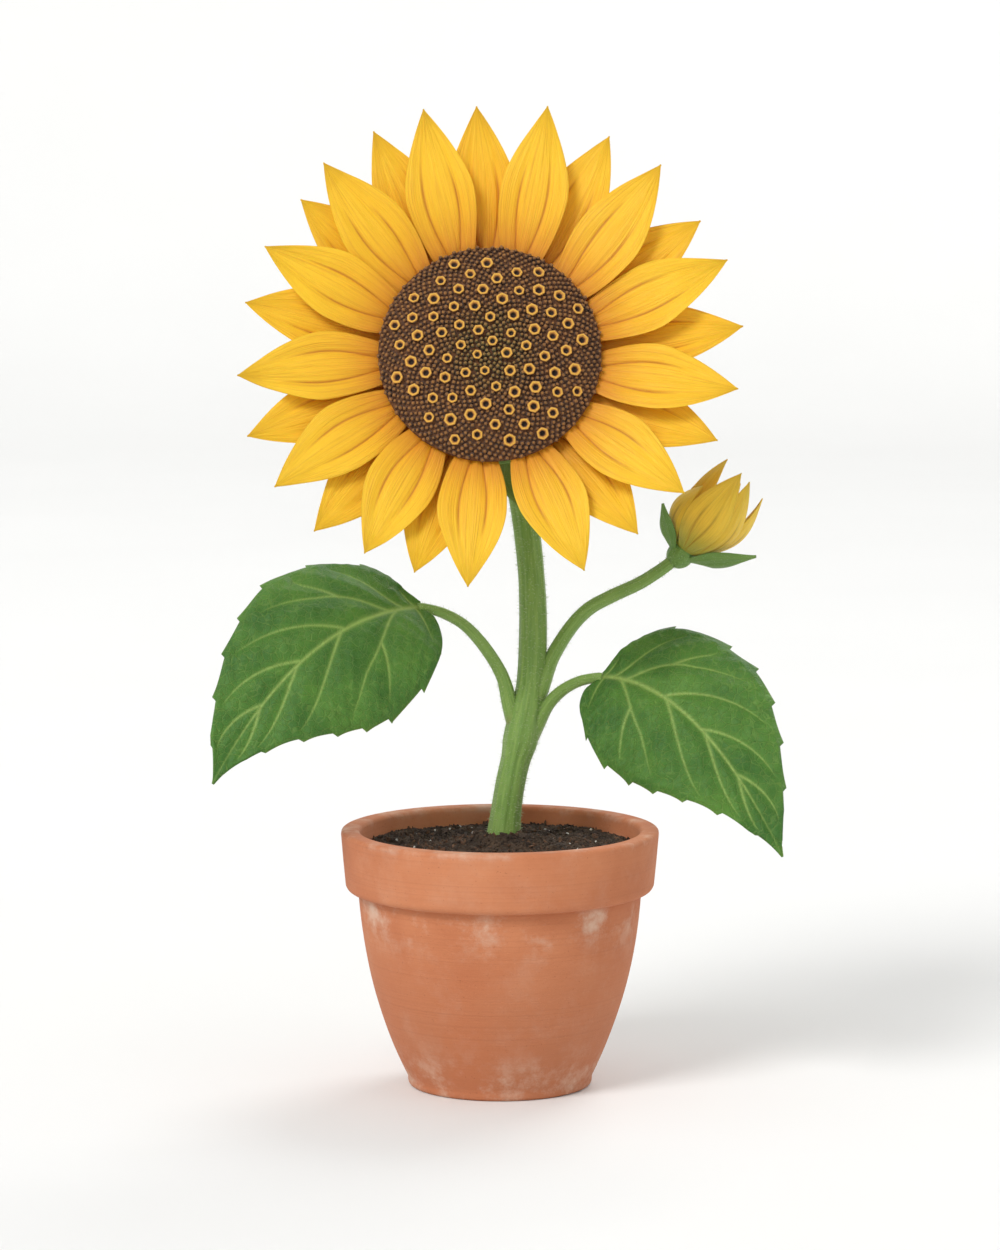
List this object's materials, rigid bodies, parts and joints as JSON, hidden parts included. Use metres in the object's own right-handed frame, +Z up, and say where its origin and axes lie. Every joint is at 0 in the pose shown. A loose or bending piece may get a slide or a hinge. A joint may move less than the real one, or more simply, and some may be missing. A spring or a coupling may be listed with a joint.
{
  "type": "potted sunflower plant",
  "caption": "Sunflower plant in a round terracotta pot: one open flower, one bud on a side stem and two heart-shaped leaves.",
  "frame": {"origin": "centre of the pot's foot, on the surface it stands on", "axes": "+Z up along the plant; the flower looks along -Y; +X is to the right of a viewer facing the flower"},
  "size_m": [0.2806, 0.1639, 0.4906],
  "materials": {
    "terracotta": "matte",
    "potting_soil": "matte",
    "stem_green": "satin",
    "leaf_green": "satin",
    "bract_green": "matte",
    "ray_petal_yellow": "satin",
    "disc_brown": "matte",
    "bud_petal_yellow": "satin"
  },
  "bodies": {
    "root": {"pot": "terracotta", "potting_soil": "potting_soil", "main_stem": "stem_green", "bud_stem": "stem_green", "left_leaf_stalk": "stem_green", "right_leaf_stalk": "stem_green", "left_leaf_blade": "leaf_green", "right_leaf_blade": "leaf_green", "flower_receptacle": "bract_green", "flower_disc": "disc_brown", "front_petal_01": "ray_petal_yellow", "front_petal_02": "ray_petal_yellow", "front_petal_03": "ray_petal_yellow", "front_petal_04": "ray_petal_yellow", "front_petal_05": "ray_petal_yellow", "front_petal_06": "ray_petal_yellow", "front_petal_07": "ray_petal_yellow", "front_petal_08": "ray_petal_yellow", "front_petal_09": "ray_petal_yellow", "front_petal_10": "ray_petal_yellow", "front_petal_11": "ray_petal_yellow", "front_petal_12": "ray_petal_yellow", "front_petal_13": "ray_petal_yellow", "back_petal_01": "ray_petal_yellow", "back_petal_02": "ray_petal_yellow", "back_petal_03": "ray_petal_yellow", "back_petal_04": "ray_petal_yellow", "back_petal_05": "ray_petal_yellow", "back_petal_06": "ray_petal_yellow", "back_petal_07": "ray_petal_yellow", "back_petal_08": "ray_petal_yellow", "back_petal_09": "ray_petal_yellow", "back_petal_10": "ray_petal_yellow", "back_petal_11": "ray_petal_yellow", "back_petal_12": "ray_petal_yellow", "head_bract_01": "bract_green", "head_bract_02": "bract_green", "head_bract_03": "bract_green", "head_bract_04": "bract_green", "head_bract_05": "bract_green", "head_bract_06": "bract_green", "head_bract_07": "bract_green", "head_bract_08": "bract_green", "head_bract_09": "bract_green", "head_bract_10": "bract_green", "head_bract_11": "bract_green", "head_bract_12": "bract_green", "bud_knob": "bract_green", "bud_outer_petal_1": "bud_petal_yellow", "bud_outer_petal_2": "bud_petal_yellow", "bud_outer_petal_3": "bud_petal_yellow", "bud_outer_petal_4": "bud_petal_yellow", "bud_outer_petal_5": "bud_petal_yellow", "bud_inner_petal_1": "bud_petal_yellow", "bud_inner_petal_2": "bud_petal_yellow", "bud_inner_petal_3": "bud_petal_yellow", "bud_sepal_1": "bract_green", "bud_sepal_2": "bract_green", "bud_sepal_3": "bract_green"}
  },
  "joints": []
}
